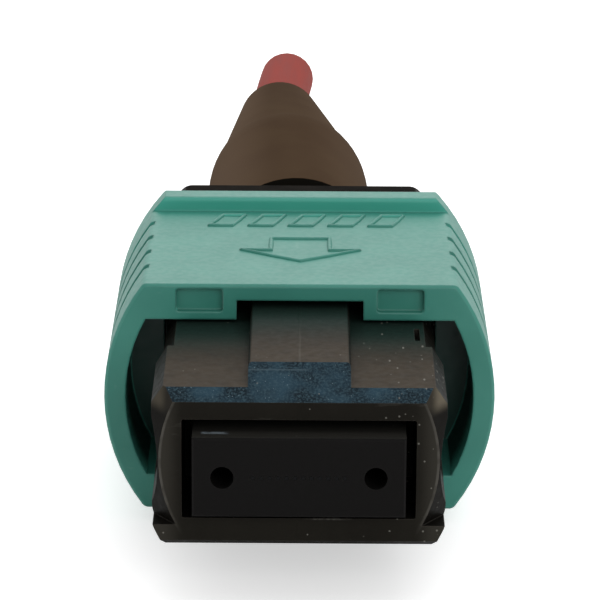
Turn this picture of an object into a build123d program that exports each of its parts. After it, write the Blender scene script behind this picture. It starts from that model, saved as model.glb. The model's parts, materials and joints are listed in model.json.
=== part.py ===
from build123d import *
import math
import os

# A twelve-fibre push-pull ribbon connector on a short stub of round cable.
# X is to the right and +Z is up, seen from the front. Y runs back along the plug's axis.
# The origin is the centre of the ferrule's polished face. All sizes are in millimetres.

# Ferrule and its holes
ferrule_width = 6.4
ferrule_height = 2.5
ferrule_length = 8.0
ferrule_edge = 0.06
ferrule_flange_margin = 0.3
ferrule_flange_height_margin = 0.25
ferrule_flange_length = 2.0
guide_hole_radius = 0.35
guide_hole_pitch = 4.6
fibre_count = 12
fibre_pitch = 0.25
bare_fibre_radius = 0.0625
fibre_hole_clearance = 0.0075
fibre_hole_length = 3.4
ribbon_slot_width = 3.2
ribbon_slot_height = 0.5
glue_window_width = 3.0
glue_window_length = 1.6
glue_window_front = 3.0
boot_pocket_depth = 3.0

# Ferrule boot and pin spacer
ferrule_boot_width = 3.5
ferrule_boot_height = 1.4
ferrule_boot_length = 4.0
ferrule_boot_corner = 0.3
boot_clearance = 0.05
ribbon_clearance = 0.05
spacer_length = 1.4
spacer_gap = 0.02
spacer_hole_radius = 0.42
spring_recess_depth = 0.3

# Inner housing
housing_front = 0.54
housing_rear = 17.5
housing_wall = 0.65
housing_roof = 0.9
nose_step = 0.2
nose_rear = 5.0
top_bevel_width = 0.36
top_bevel_height = 0.58
bottom_bevel_width = 0.42
bottom_bevel_height = 0.85
bottom_round = 1.2
face_drop = 0.3
nose_slope_angle = 29.0
chin_length = 0.55
chin_height = 0.8
lead_in_margin = 0.23
lead_in_centre_height = 0.33
lead_in_angle = 32.0
key_width = 3.1
key_rise = 0.5
key_rear = 10.0
key_edge = 0.12
opening_side_gap = 0.32
opening_height_gap = 0.315
opening_centre_height = 0.085
opening_corner = 0.06
opening_rear = 4.2
throat_clearance = 0.1
flange_seat_gap = 0.02
flange_side_clearance = 0.1
channel_depth = 0.2
channel_curve = 5.0
channel_centre_height = 0.15
channel_height = 2.7
latch_recess_depth = 0.6
latch_recess_front = 3.4
latch_recess_rear = 5.2
rear_channel_depth = 0.2
rear_channel_rear = 10.2
slot_edge_gap = 0.79
slot_centre_y = 6.2
slot_width = 0.16
slot_length = 1.2
slot_depth = 0.35

# Push-pull coupling
coupling_front = 7.35
coupling_length = 9.25
coupling_side_room = 1.95
coupling_roof_room = 1.25
coupling_wall = 0.68
coupling_bore_clearance = 0.1
coupling_corner = 0.25
coupling_edge = 0.08
lip_rise = 0.475
lip_length = 0.95
lip_round = 0.15
notch_side_clearance = 0.45
notch_top_clearance = 0.23
rim_window_x = 3.17
rim_window_width = 1.48
rim_window_drop = 0.9
rim_window_height = 0.76
rim_window_corner = 0.1
rim_window_depth = 0.25
grip_first = 9.3
grip_pitch = 1.63
grip_count = 4
grip_width = 0.4
grip_depth = 0.1
rib_length = 1.0
rib_side_clearance = 0.15

# Coupling springs in the housing's side grooves, which the coupling's bore closes
side_groove_reach = 0.03
side_spring_radius = 0.6
side_spring_wire = 0.12
side_spring_turns = 6
side_groove_radius = 0.8
lug_clearance = 0.15
lug_stop_gap = 0.02
spring_end_gap = 0.02
side_groove_front = 10.9

# Main spring, an oval coil. Each turn of a coil has this many straight runs.
coil_runs = 10
wire_sides = 6
main_spring_half_width = 2.6
main_spring_half_height = 1.0
main_spring_wire = 0.17
main_spring_turns = 6
main_spring_rear = 15.6

# Spring push, the plug's rear half
push_insert_clearance = 0.1
arm_width = 2.0
arm_length = 1.9
arm_thickness = 0.3
barb_length = 1.2
barb_rise = 0.6
barb_rear = 15.7
barb_clearance = 0.1
shoulder_length = 1.7
ear_length = 1.1
ear_reach = 0.9
ear_height = 1.5
ear_tip_gap = 0.22
ear_clearance = 0.05
push_flange_side = 0.05
push_flange_rise = 0.5
push_flange_length = 2.3
push_flange_round = 0.5
throat_width = 3.6
throat_height = 1.6
throat_length = 4.2
neck_radius = 1.95
neck_bore_radius = 1.2
neck_length = 6.1
neck_groove_count = 3
neck_groove_depth = 0.12
neck_groove_width = 0.45

# Crimp ring, aramid yarn and cable
crimp_gap = 0.6
crimp_wall = 0.24
crimp_overhang = 0.4
crimp_collar = 0.08
crimp_collar_length = 0.7
crimp_cone_length = 1.1
crimp_tail_length = 2.2
yarn_thickness = 0.07
yarn_gap = 0.02
jacket_radius = 1.1
jacket_wall = 0.3
jacket_gap = 1.3
stub_length = 6.9
coated_fibre_radius = 0.12
bundle_gap = 0.034
yarn_setback = 0.12

# Strain relief boot, which sits a little askew on the crimp
boot_gap = 1.0
boot_lean = 2.05
boot_pivot = 17.5
boot_radius = 3.0
boot_length = 19.5
boot_barrel_length = 8.1
boot_shoulder_length = 1.9
boot_shoulder_radius = 2.78
boot_step = 0.06
boot_step_length = 0.12
boot_tip_radius = 1.6
boot_tip_edge = 0.08
boot_bore_radius = 2.68
boot_lip_clearance = 0.22
boot_lip_length = 0.6
boot_crimp_room = 1.0
boot_waist_radius = 1.85
boot_tail_room = 1.4
boot_funnel_length = 4.3
boot_cable_clearance = 0.1
cable_end_swing = 0.36

# Sizes worked out from those above
flange_front = ferrule_length - ferrule_flange_length
flange_width = ferrule_width + 2 * ferrule_flange_margin
flange_height = ferrule_height + 2 * ferrule_flange_height_margin
cavity_width = flange_width + 2 * flange_side_clearance
cavity_height = flange_height + 2 * flange_side_clearance
housing_width = cavity_width + 2 * housing_wall
housing_height = cavity_height + 2 * housing_roof
nose_width = housing_width + 2 * nose_step
face_half_height = housing_height / 2 - face_drop
chin_top = chin_height - housing_height / 2
lead_in_radius = nose_width / 2 - lead_in_margin
opening_width = ferrule_width + 2 * opening_side_gap
opening_height = ferrule_height + 2 * opening_height_gap
channel_half_width = nose_width / 2 - channel_depth
latch_recess_half_width = nose_width / 2 - latch_recess_depth
rear_channel_half_width = housing_width / 2 - rear_channel_depth
slot_centre_x = nose_width / 2 - slot_edge_gap
coupling_radius = housing_width / 2 + coupling_side_room
coupling_height = housing_height + 2 * coupling_roof_room
lip_height = coupling_height + 2 * lip_rise
rim_window_low = coupling_height / 2 - rim_window_drop
push_flange_width = housing_width + 2 * push_flange_side
push_flange_height = housing_height + 2 * push_flange_rise
spacer_front = ferrule_length + spacer_gap
spacer_rear = spacer_front + spacer_length
main_spring_front = spacer_rear - spring_recess_depth
key_top = housing_height / 2 + key_rise
coupling_rear = coupling_front + coupling_length
bore_height = housing_height + 2 * coupling_bore_clearance
rib_front = side_groove_front
rib_rear = rib_front + rib_length
lug_radius = side_groove_radius - lug_clearance
coupling_bore_radius = coupling_radius - coupling_wall
side_spring_x = coupling_bore_radius - side_groove_radius + side_groove_reach
ear_tip = coupling_bore_radius - ear_tip_gap
spring_seat = housing_rear - ear_reach
insert_width = cavity_width - 2 * push_insert_clearance
insert_height = cavity_height - 2 * push_insert_clearance
shoulder_rear = housing_rear + shoulder_length
flange_rear = shoulder_rear + push_flange_length
neck_rear = flange_rear + neck_length
crimp_front = flange_rear + crimp_gap
yarn_inner = neck_radius + yarn_gap
yarn_outer = yarn_inner + yarn_thickness
crimp_inner = yarn_outer + yarn_gap
crimp_outer = crimp_inner + crimp_wall
crimp_barrel_rear = neck_rear + crimp_overhang
crimp_cone_rear = crimp_barrel_rear + crimp_cone_length
crimp_tail_rear = crimp_cone_rear + crimp_tail_length
jacket_inner = jacket_radius - jacket_wall
jacket_front = neck_rear + jacket_gap
bundle_pitch = 2 * coated_fibre_radius + bundle_gap / 2
boot_front = flange_rear + boot_gap
boot_bore_length = crimp_barrel_rear + boot_crimp_room - boot_front
boot_waist = crimp_tail_rear + boot_tail_room - boot_front
boot_cable_bore_start = boot_waist + boot_funnel_length
jacket_rear = boot_front + boot_length + stub_length
core_yarn_outer = jacket_inner - yarn_gap
core_yarn_inner = core_yarn_outer - 2 * yarn_thickness


def across(y):
    """A sketch plane square to the axis, seen from the front. Extruding goes forwards."""
    return Plane(origin=(0, y, 0), x_dir=(1, 0, 0), z_dir=(0, -1, 0))


def boot_axis_x(y):
    """Where the leaning boot's axis passes at this distance back."""
    return -math.tan(math.radians(boot_lean)) * (y - boot_pivot)


def body_outline(width):
    """Corners of the body's section, with bevels at the top and steep chamfers at the bottom."""
    half_width = width / 2
    top = housing_height / 2
    right_side = [
        (half_width - bottom_bevel_width, -top),
        (half_width, bottom_bevel_height - top),
        (half_width, top - top_bevel_height),
        (half_width - top_bevel_width, top),
    ]
    return right_side + [(-x, z) for x, z in reversed(right_side)]


def coil(front, length, turns, half_width, half_height, centre_x=0.0):
    """Corners of a coil along Y, a fixed number to each turn."""
    corners = []
    for step in range(turns * coil_runs + 1):
        angle = 2 * math.pi * step / coil_runs
        y = front + length * step / (turns * coil_runs)
        corners.append((centre_x + half_width * math.cos(angle), y, half_height * math.sin(angle)))
    return corners


def soft_route(points):
    """The points and the radius of each corner's arc, as large as its two runs allow."""
    corners = [Vector(*p) for p in points]
    radii = []
    for before, corner, after in zip(corners, corners[1:], corners[2:]):
        run_in = corner - before
        run_out = after - corner
        half_turn = math.radians(run_in.get_angle(run_out)) / 2
        radii.append(0.45 * min(run_in.length, run_out.length) / math.tan(half_turn))
    return points, radii


def write(piece, name):
    """Label the finished piece and write it to its own file."""
    piece.part.label = name
    export_step(piece.part, f"parts/{name}.step")


os.makedirs("parts", exist_ok=True)

# Ferrule: a moulded block with two guide holes and a row of fine fibre holes
with BuildPart() as mt_ferrule:
    with BuildSketch(across(ferrule_length)):
        Rectangle(ferrule_width, ferrule_height)
    extrude(amount=ferrule_length)
    front_edges = mt_ferrule.faces().sort_by(Axis.Y)[0].edges()
    chamfer(front_edges, ferrule_edge)
    with BuildSketch(across(ferrule_length)):
        Rectangle(flange_width, flange_height)
    extrude(amount=ferrule_flange_length)
    with BuildSketch(across(ferrule_length)):
        with GridLocations(guide_hole_pitch, 0, 2, 1):
            Circle(guide_hole_radius)
    extrude(amount=ferrule_length, mode=Mode.SUBTRACT)
    with BuildSketch(across(ferrule_length)):
        Rectangle(ferrule_boot_width + 2 * boot_clearance, ferrule_boot_height + 2 * boot_clearance)
    extrude(amount=boot_pocket_depth, mode=Mode.SUBTRACT)
    with BuildSketch(across(ferrule_length - boot_pocket_depth)):
        Rectangle(ribbon_slot_width, ribbon_slot_height)
    extrude(amount=ferrule_length - boot_pocket_depth - fibre_hole_length, mode=Mode.SUBTRACT)
    with BuildSketch(across(fibre_hole_length)):
        with GridLocations(fibre_pitch, 0, fibre_count, 1):
            Circle(bare_fibre_radius + fibre_hole_clearance)
    extrude(amount=fibre_hole_length, mode=Mode.SUBTRACT)
    with BuildSketch(Plane.XY.offset(ferrule_height / 2)):
        with Locations((0, glue_window_front + glue_window_length / 2)):
            Rectangle(glue_window_width, glue_window_length)
    extrude(amount=-ferrule_height / 2, mode=Mode.SUBTRACT)
write(mt_ferrule, "mt_ferrule")

# Ferrule boot: the soft sleeve that holds the fibres flat behind the ferrule
ferrule_boot_front = ferrule_length - boot_pocket_depth + boot_clearance
ribbon_width = (fibre_count - 1) * fibre_pitch + 2 * coated_fibre_radius
with BuildPart() as ferrule_boot:
    with BuildSketch(across(ferrule_boot_front + ferrule_boot_length)):
        RectangleRounded(ferrule_boot_width, ferrule_boot_height, ferrule_boot_corner)
    extrude(amount=ferrule_boot_length)
    with BuildSketch(across(ferrule_boot_front + ferrule_boot_length)):
        Rectangle(
            ribbon_width + 2 * ribbon_clearance,
            2 * (coated_fibre_radius + ribbon_clearance),
        )
    extrude(amount=ferrule_boot_length, mode=Mode.SUBTRACT)
write(ferrule_boot, "ferrule_boot")

# Pin spacer: the plate behind the ferrule that takes the main spring's push
with BuildPart() as pin_spacer:
    with BuildSketch(across(spacer_rear)):
        Rectangle(flange_width, flange_height)
        Rectangle(
            ferrule_boot_width + 2 * boot_clearance,
            ferrule_boot_height + 2 * boot_clearance,
            mode=Mode.SUBTRACT,
        )
        with GridLocations(guide_hole_pitch, 0, 2, 1):
            Circle(spacer_hole_radius, mode=Mode.SUBTRACT)
    extrude(amount=spacer_length)
    with BuildSketch(across(spacer_rear)):
        Ellipse(
            main_spring_half_width + main_spring_wire + spring_end_gap,
            main_spring_half_height + main_spring_wire + spring_end_gap,
        )
    extrude(amount=spring_recess_depth, mode=Mode.SUBTRACT)
write(pin_spacer, "pin_spacer")

# Main spring: an oval coil with room for the fibres through its middle
main_coil_length = main_spring_rear - main_spring_front - 2 * (main_spring_wire + spring_end_gap)
with BuildPart() as main_spring:
    with BuildLine() as main_coil:
        Polyline(
            coil(
                main_spring_front + main_spring_wire + spring_end_gap,
                main_coil_length,
                main_spring_turns,
                main_spring_half_width,
                main_spring_half_height,
            )
        )
    with BuildSketch(Plane(origin=main_coil.line @ 0, z_dir=main_coil.line % 0)):
        RegularPolygon(main_spring_wire, wire_sides)
    sweep(path=main_coil.line, transition=Transition.RIGHT)
write(main_spring, "main_spring")

# Inner housing: the black nose with its key, side channels and inner cavity
with BuildPart() as inner_housing:
    with BuildSketch(across(housing_rear)) as body_section:
        Polygon(*body_outline(housing_width), align=None)
        fillet(body_section.vertices().group_by(Axis.Y)[1], bottom_round)
    extrude(amount=housing_rear - housing_front)
    with BuildSketch(across(nose_rear)) as nose_section:
        Polygon(*body_outline(nose_width), align=None)
        fillet(nose_section.vertices().group_by(Axis.Y)[1], bottom_round)
    extrude(amount=nose_rear - housing_front)
    # Conical lead-in round the front face, which stops at the chin
    lead_in_reach = nose_width - lead_in_radius
    lead_in_length = lead_in_reach / math.tan(math.radians(lead_in_angle))
    with BuildSketch(Plane.XY.offset(lead_in_centre_height)):
        with BuildLine():
            Polyline(
                (lead_in_radius, housing_front),
                (lead_in_radius + lead_in_reach, housing_front + lead_in_length),
                (lead_in_radius + lead_in_reach, housing_front),
                close=True,
            )
        make_face()
    revolve(axis=Axis((0, 0, lead_in_centre_height), (0, 1, 0)), mode=Mode.SUBTRACT)
    with BuildSketch(across(nose_rear)) as chin_section:
        Polygon(*body_outline(nose_width), align=None)
        fillet(chin_section.vertices().group_by(Axis.Y)[1], bottom_round)
        with Locations((0, chin_top)):
            Rectangle(
                nose_width,
                housing_height,
                align=(Align.CENTER, Align.MAX),
                mode=Mode.INTERSECT,
            )
    extrude(amount=nose_rear - housing_front)
    with BuildSketch(across(key_rear)) as key_section:
        with Locations((0, key_top / 2)):
            Rectangle(key_width, key_top)
        fillet(key_section.vertices().group_by(Axis.Y)[-1], key_edge)
    extrude(amount=key_rear - housing_front)
    # Sloped front of the nose and key, and the shorter slope of the chin
    slope_run = (key_top - face_half_height) / math.tan(math.radians(nose_slope_angle))
    with BuildSketch(Plane.YZ):
        with BuildLine():
            Polyline(
                (housing_front, face_half_height),
                (housing_front + slope_run, key_top),
                (housing_front, key_top),
                close=True,
            )
        make_face()
        with BuildLine():
            Polyline(
                (housing_front, -face_half_height),
                (housing_front + chin_length, -housing_height / 2),
                (housing_front, -housing_height / 2),
                close=True,
            )
        make_face()
    extrude(amount=nose_width / 2, both=True, mode=Mode.SUBTRACT)
    # Opening for the ferrule, its throat and the cavity behind
    with BuildSketch(across(opening_rear)):
        with Locations((0, opening_centre_height)):
            RectangleRounded(opening_width, opening_height, opening_corner)
    extrude(amount=opening_rear, mode=Mode.SUBTRACT)
    with BuildSketch(across(flange_front)):
        Rectangle(ferrule_width + 2 * throat_clearance, ferrule_height + 2 * throat_clearance)
    extrude(amount=flange_front, mode=Mode.SUBTRACT)
    with BuildSketch(across(housing_rear)):
        Rectangle(cavity_width, cavity_height)
    extrude(amount=housing_rear - flange_front + flange_seat_gap, mode=Mode.SUBTRACT)
    # Side channels, latch recesses and spring grooves, the same on both sides
    with BuildSketch(across(latch_recess_front)):
        with Locations((0, channel_centre_height)):
            with GridLocations(2 * (channel_half_width + channel_curve), 0, 2, 1):
                Circle(channel_curve)
    extrude(amount=latch_recess_front, mode=Mode.SUBTRACT)
    for rear, length, half_width in (
        (latch_recess_rear, latch_recess_rear - latch_recess_front, latch_recess_half_width),
        (rear_channel_rear, rear_channel_rear - latch_recess_rear, rear_channel_half_width),
    ):
        with BuildSketch(across(rear)):
            with Locations((0, channel_centre_height)):
                Rectangle(nose_width, channel_height)
                Rectangle(2 * half_width, channel_height, mode=Mode.SUBTRACT)
        extrude(amount=length, mode=Mode.SUBTRACT)
    with BuildSketch(across(housing_rear)):
        with GridLocations(2 * side_spring_x, 0, 2, 1):
            Circle(side_groove_radius)
    extrude(amount=housing_rear - side_groove_front + lug_stop_gap, mode=Mode.SUBTRACT)
    # Small slot in the top, and the windows that the push's barbs snap into
    with BuildSketch(Plane.XY.offset(housing_height / 2)):
        with Locations((slot_centre_x, slot_centre_y)):
            Rectangle(slot_width, slot_length)
    extrude(amount=-slot_depth, mode=Mode.SUBTRACT)
    with BuildSketch(Plane.XY):
        with Locations((0, barb_rear - barb_length / 2)):
            Rectangle(arm_width + 2 * barb_clearance, barb_length + 2 * barb_clearance)
    extrude(amount=housing_height, both=True, mode=Mode.SUBTRACT)
write(inner_housing, "inner_housing")

# Coupling: the sliding sleeve with flats, a raised rear lip and grip grooves
with BuildPart() as coupling:
    with BuildSketch(across(coupling_rear)) as sleeve_section:
        Circle(coupling_radius)
        Rectangle(2 * coupling_radius, coupling_height, mode=Mode.INTERSECT)
        fillet(sleeve_section.vertices(), coupling_corner)
    extrude(amount=coupling_length)
    rim_edges = coupling.faces().sort_by(Axis.Y)[0].edges()
    chamfer(rim_edges, coupling_edge)
    with BuildSketch(across(coupling_rear)):
        Circle(coupling_radius)
        Rectangle(2 * coupling_radius, lip_height, mode=Mode.INTERSECT)
    extrude(amount=lip_length)
    lip_edges = coupling.edges().filter_by(Axis.X).filter_by(
        lambda edge: abs(abs(edge.center().Z) - lip_height / 2) < coupling_edge
    )
    fillet(lip_edges, lip_round)
    for groove in range(grip_count):
        groove_middle = grip_first + groove * grip_pitch
        with BuildSketch(across(groove_middle + grip_width / 2)):
            Circle(coupling_radius + grip_depth)
            Circle(coupling_radius - grip_depth, mode=Mode.SUBTRACT)
        extrude(amount=grip_width, mode=Mode.SUBTRACT)
    # Bore in front of and behind the inner rib
    for rear, length in (
        (rib_front, rib_front - coupling_front),
        (coupling_rear, coupling_rear - rib_rear),
    ):
        with BuildSketch(across(rear)):
            Circle(coupling_bore_radius)
            Rectangle(2 * coupling_bore_radius, bore_height, mode=Mode.INTERSECT)
        extrude(amount=length, mode=Mode.SUBTRACT)
    # Bore through the rib, which keeps a lug for each side spring
    with BuildSketch(across(rib_rear)):
        Rectangle(housing_width + 2 * rib_side_clearance, bore_height)
        with GridLocations(2 * side_spring_x, 0, 2, 1):
            Circle(lug_radius, mode=Mode.SUBTRACT)
    extrude(amount=rib_length, mode=Mode.SUBTRACT)
    # Notch for the key
    notch_top = key_top + notch_top_clearance
    with BuildSketch(across(rib_front)):
        with Locations((0, notch_top / 2)):
            Rectangle(key_width + 2 * notch_side_clearance, notch_top)
    extrude(amount=rib_front - coupling_front, mode=Mode.SUBTRACT)
    # Shallow windows in the front rim, above and below
    with BuildSketch(across(coupling_front + rim_window_depth)):
        with GridLocations(2 * rim_window_x, 2 * rim_window_low + rim_window_height, 2, 2):
            RectangleRounded(rim_window_width, rim_window_height, rim_window_corner)
    extrude(amount=rim_window_depth, mode=Mode.SUBTRACT)
write(coupling, "coupling")

# Coupling springs: a round coil on each side, between the rib's lug and the push's ear
side_coil_front = rib_rear + side_spring_wire + spring_end_gap
side_coil_length = spring_seat - rib_rear - 2 * (side_spring_wire + spring_end_gap)
for side, name in ((-1, "coupling_spring_left"), (1, "coupling_spring_right")):
    with BuildPart() as side_spring:
        with BuildLine() as side_coil:
            Polyline(
                coil(
                    side_coil_front,
                    side_coil_length,
                    side_spring_turns,
                    side_spring_radius,
                    side_spring_radius,
                    side * side_spring_x,
                )
            )
        with BuildSketch(Plane(origin=side_coil.line @ 0, z_dir=side_coil.line % 0)):
            RegularPolygon(side_spring_wire, wire_sides)
        sweep(path=side_coil.line, transition=Transition.RIGHT)
    write(side_spring, name)

# Spring push: snap-in insert, shoulder with ears, flange and crimp neck
with BuildPart() as spring_push:
    with BuildSketch(across(housing_rear)):
        Rectangle(insert_width, insert_height)
    extrude(amount=housing_rear - main_spring_rear)
    with BuildSketch(across(main_spring_rear)):
        with GridLocations(0, insert_height - arm_thickness, 1, 2):
            Rectangle(arm_width, arm_thickness)
    extrude(amount=arm_length)
    # Barbs that rise towards the rear, on both arms
    with BuildSketch(Plane.YZ) as barb:
        with BuildLine():
            Polyline(
                (barb_rear - barb_length, insert_height / 2),
                (barb_rear, insert_height / 2 + barb_rise),
                (barb_rear, insert_height / 2 - arm_thickness / 2),
                (barb_rear - barb_length, insert_height / 2 - arm_thickness / 2),
                close=True,
            )
        make_face()
        mirror(about=Plane.XZ)
    extrude(amount=arm_width / 2, both=True)
    with BuildSketch(across(shoulder_rear)) as shoulder:
        Polygon(*body_outline(housing_width), align=None)
        fillet(shoulder.vertices().group_by(Axis.Y)[1], bottom_round)
    extrude(amount=shoulder_length)
    # Ears that reach forwards beside the housing and seat the two side springs
    with BuildSketch(across(housing_rear + ear_length)):
        Rectangle(2 * ear_tip, ear_height)
    extrude(amount=ear_length)
    ear_inner = housing_width / 2 + ear_clearance
    with BuildSketch(across(housing_rear)):
        with GridLocations(ear_tip + ear_inner, 0, 2, 1):
            Rectangle(ear_tip - ear_inner, ear_height)
    extrude(amount=ear_reach)
    with BuildSketch(across(flange_rear)):
        RectangleRounded(push_flange_width, push_flange_height, push_flange_round)
    extrude(amount=push_flange_length)
    with BuildSketch(across(neck_rear)):
        Circle(neck_radius)
    extrude(amount=neck_length)
    # Grooves round the neck that the crimped yarn bites into
    groove_pitch = (crimp_barrel_rear - crimp_front) / (neck_groove_count + 1)
    for groove in range(neck_groove_count):
        groove_rear = crimp_front + (groove + 1) * groove_pitch
        with BuildSketch(across(groove_rear)):
            Circle(neck_radius)
            Circle(neck_radius - neck_groove_depth, mode=Mode.SUBTRACT)
        extrude(amount=neck_groove_width, mode=Mode.SUBTRACT)
    with BuildSketch(across(main_spring_rear + throat_length)):
        SlotOverall(throat_width, throat_height)
    extrude(amount=throat_length, mode=Mode.SUBTRACT)
    with BuildSketch(across(neck_rear)):
        Circle(neck_bore_radius)
    extrude(amount=neck_rear - main_spring_rear - throat_length, mode=Mode.SUBTRACT)
write(spring_push, "spring_push")

# Crimp ring: a stepped sleeve that clamps the yarn on the neck and the jacket behind it
crimp_tail_inner = jacket_radius + yarn_gap
with BuildPart() as crimp_ring:
    with BuildSketch(Plane.XY):
        with BuildLine():
            Polyline(
                (crimp_inner, crimp_front),
                (crimp_outer + crimp_collar, crimp_front),
                (crimp_outer + crimp_collar, crimp_front + crimp_collar_length),
                (crimp_outer, crimp_front + crimp_collar_length + crimp_collar),
                (crimp_outer, crimp_barrel_rear),
                (crimp_tail_inner + crimp_wall, crimp_cone_rear),
                (crimp_tail_inner + crimp_wall, crimp_tail_rear),
                (crimp_tail_inner, crimp_tail_rear),
                (crimp_tail_inner, crimp_cone_rear),
                (crimp_inner, crimp_barrel_rear),
                close=True,
            )
        make_face()
    revolve(axis=Axis.Y)
write(crimp_ring, "crimp_ring")

# Route of the cable: straight out of the crimp, then along the leaning boot to a plain end
boot_grip_y = boot_front + boot_cable_bore_start
boot_tip_y = boot_front + boot_length - 0.6
cable_route = [
    (0, jacket_front, 0),
    (0, crimp_tail_rear + 0.4, 0),
    (boot_axis_x(boot_grip_y), boot_grip_y, 0),
    (boot_axis_x(boot_tip_y), boot_tip_y, 0),
    (boot_axis_x(boot_tip_y) + cable_end_swing, jacket_rear, 0),
]
route_points, route_radii = soft_route(cable_route)
print("cable bend radii", [round(radius, 1) for radius in route_radii])

# Cable jacket: a round tube along the route
with BuildPart() as cable_jacket:
    with BuildLine() as jacket_path:
        FilletPolyline(*route_points, radius=route_radii)
    with BuildSketch(across(jacket_front)):
        Circle(jacket_radius)
        Circle(jacket_inner, mode=Mode.SUBTRACT)
    sweep(path=jacket_path.line)
write(cable_jacket, "cable_jacket")

# Aramid yarn: folded out over the neck under the crimp, and lying round the fibres behind it
yarn_end = (cable_route[-1][0], jacket_rear - yarn_setback, 0)
yarn_points, yarn_radii = soft_route(cable_route[:-1] + [yarn_end])
with BuildPart() as aramid_yarn:
    with BuildSketch(Plane.XY):
        with BuildLine():
            Polyline(
                (yarn_inner, crimp_front + crimp_collar_length),
                (yarn_outer, crimp_front + crimp_collar_length),
                (yarn_outer, neck_rear + yarn_thickness),
                (core_yarn_outer, jacket_front),
                (core_yarn_inner, jacket_front),
                (yarn_inner, neck_rear + yarn_gap),
                close=True,
            )
        make_face()
    revolve(axis=Axis.Y)
    with BuildLine() as yarn_path:
        FilletPolyline(*yarn_points, radius=yarn_radii)
    with BuildSketch(across(jacket_front)):
        Circle(core_yarn_outer)
        Circle(core_yarn_inner, mode=Mode.SUBTRACT)
    sweep(path=yarn_path.line)
write(aramid_yarn, "aramid_yarn")

# Strain relief boot: a smooth barrel and a long cone, turned about its leaning axis
lean = math.radians(boot_lean)
boot_plane = Plane(
    origin=(boot_axis_x(boot_front), boot_front, 0),
    x_dir=(math.cos(lean), math.sin(lean), 0),
    z_dir=(0, 0, 1),
)
cable_bore = jacket_radius + boot_cable_clearance
lip_bore = crimp_outer + crimp_collar + boot_lip_clearance
shoulder_end = boot_barrel_length + boot_shoulder_length
with BuildPart() as strain_relief_boot:
    with BuildSketch(boot_plane):
        with BuildLine():
            Polyline(
                (lip_bore, 0),
                (boot_radius, 0),
                (boot_radius, boot_barrel_length),
            )
            TangentArc(
                (boot_radius, boot_barrel_length),
                (boot_shoulder_radius, shoulder_end),
                tangent=(0, 1),
            )
            Polyline(
                (boot_shoulder_radius, shoulder_end),
                (boot_shoulder_radius - boot_step, shoulder_end + boot_step_length),
                (boot_tip_radius, boot_length - boot_tip_edge),
                (boot_tip_radius - boot_tip_edge, boot_length),
                (cable_bore, boot_length),
                (cable_bore, boot_cable_bore_start),
                (boot_waist_radius, boot_waist),
                (boot_bore_radius, boot_bore_length),
                (boot_bore_radius, boot_lip_length),
                (lip_bore, boot_lip_length),
                (lip_bore, 0),
            )
        make_face()
    revolve(axis=Axis(boot_plane.origin, boot_plane.y_dir))
write(strain_relief_boot, "strain_relief_boot")

# Fibres: flat in a row at the ferrule, then gathered into a round bundle of three and nine.
# Each fibre rises or drops to its height first and closes in sideways after that.
inner_ring = bundle_pitch / math.sqrt(3)
outer_ring = bundle_pitch / (2 * math.sin(math.radians(20))) + bundle_gap / 2
bundle = [(inner_ring, 90 + 120 * place) for place in range(3)]
bundle += [(outer_ring, 110 + 40 * place) for place in range(9)]
place_of_fibre = (4, 5, 3, 6, 1, 7, 0, 2, 8, 11, 9, 10)
spread_front = ferrule_boot_front + ferrule_boot_length + 0.4
spread_rear = main_spring_rear - 0.8
gather_rear = neck_rear
for index, place in enumerate(place_of_fibre):
    row_x = (index - (fibre_count - 1) / 2) * fibre_pitch
    ring_radius, ring_angle = bundle[place]
    bundle_x = ring_radius * math.cos(math.radians(ring_angle))
    bundle_z = ring_radius * math.sin(math.radians(ring_angle))
    coat_front = fibre_hole_length + 0.1
    points = [
        (row_x, coat_front, 0),
        (row_x, spread_front, 0),
        (row_x, spread_rear, bundle_z),
        (bundle_x, gather_rear, bundle_z),
    ]
    points += [(x + bundle_x, y, bundle_z) for x, y, z in route_points[1:]]
    with BuildPart() as fibre:
        with BuildSketch(across(coat_front)):
            with Locations((row_x, 0)):
                Circle(bare_fibre_radius)
        extrude(amount=coat_front)
        with BuildLine() as fibre_path:
            Polyline(points)
        with BuildSketch(across(coat_front)):
            with Locations((row_x, 0)):
                RegularPolygon(coated_fibre_radius, wire_sides)
        sweep(path=fibre_path.line)
    write(fibre, f"fibre_{index + 1:02d}")
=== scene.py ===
import functools
import json
import math

import bpy
from mathutils import Matrix, Vector

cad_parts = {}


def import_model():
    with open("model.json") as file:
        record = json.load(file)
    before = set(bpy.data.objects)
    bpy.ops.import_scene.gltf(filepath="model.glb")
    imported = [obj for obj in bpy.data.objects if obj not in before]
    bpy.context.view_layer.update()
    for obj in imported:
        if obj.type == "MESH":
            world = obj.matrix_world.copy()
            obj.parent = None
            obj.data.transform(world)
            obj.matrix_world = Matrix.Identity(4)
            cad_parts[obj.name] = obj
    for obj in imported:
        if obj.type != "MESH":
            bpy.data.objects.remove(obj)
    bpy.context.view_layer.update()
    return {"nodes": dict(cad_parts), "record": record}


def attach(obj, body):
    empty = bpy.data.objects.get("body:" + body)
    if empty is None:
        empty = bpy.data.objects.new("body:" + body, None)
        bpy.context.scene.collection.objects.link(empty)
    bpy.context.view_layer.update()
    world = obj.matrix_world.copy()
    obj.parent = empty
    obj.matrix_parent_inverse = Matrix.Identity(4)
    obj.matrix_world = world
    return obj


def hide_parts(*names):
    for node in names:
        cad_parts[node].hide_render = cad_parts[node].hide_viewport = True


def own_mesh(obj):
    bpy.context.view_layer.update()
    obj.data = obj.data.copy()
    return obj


# A push-pull ribbon fibre plug. X is right, Y runs back along the plug, Z is up, all in metres.
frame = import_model()
nodes = frame["nodes"]

MM = 0.001
PHOTO_WIDTH = 600

# Camera, worked out from the photograph
CAMERA_PLACE = (0.0, -103.2 * MM, 38.2 * MM)
CAMERA_TILT = 17.54
CAMERA_ROLL = 0.35
CAMERA_FOCAL_PIXELS = 3685
SENSOR = 36.0

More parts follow.
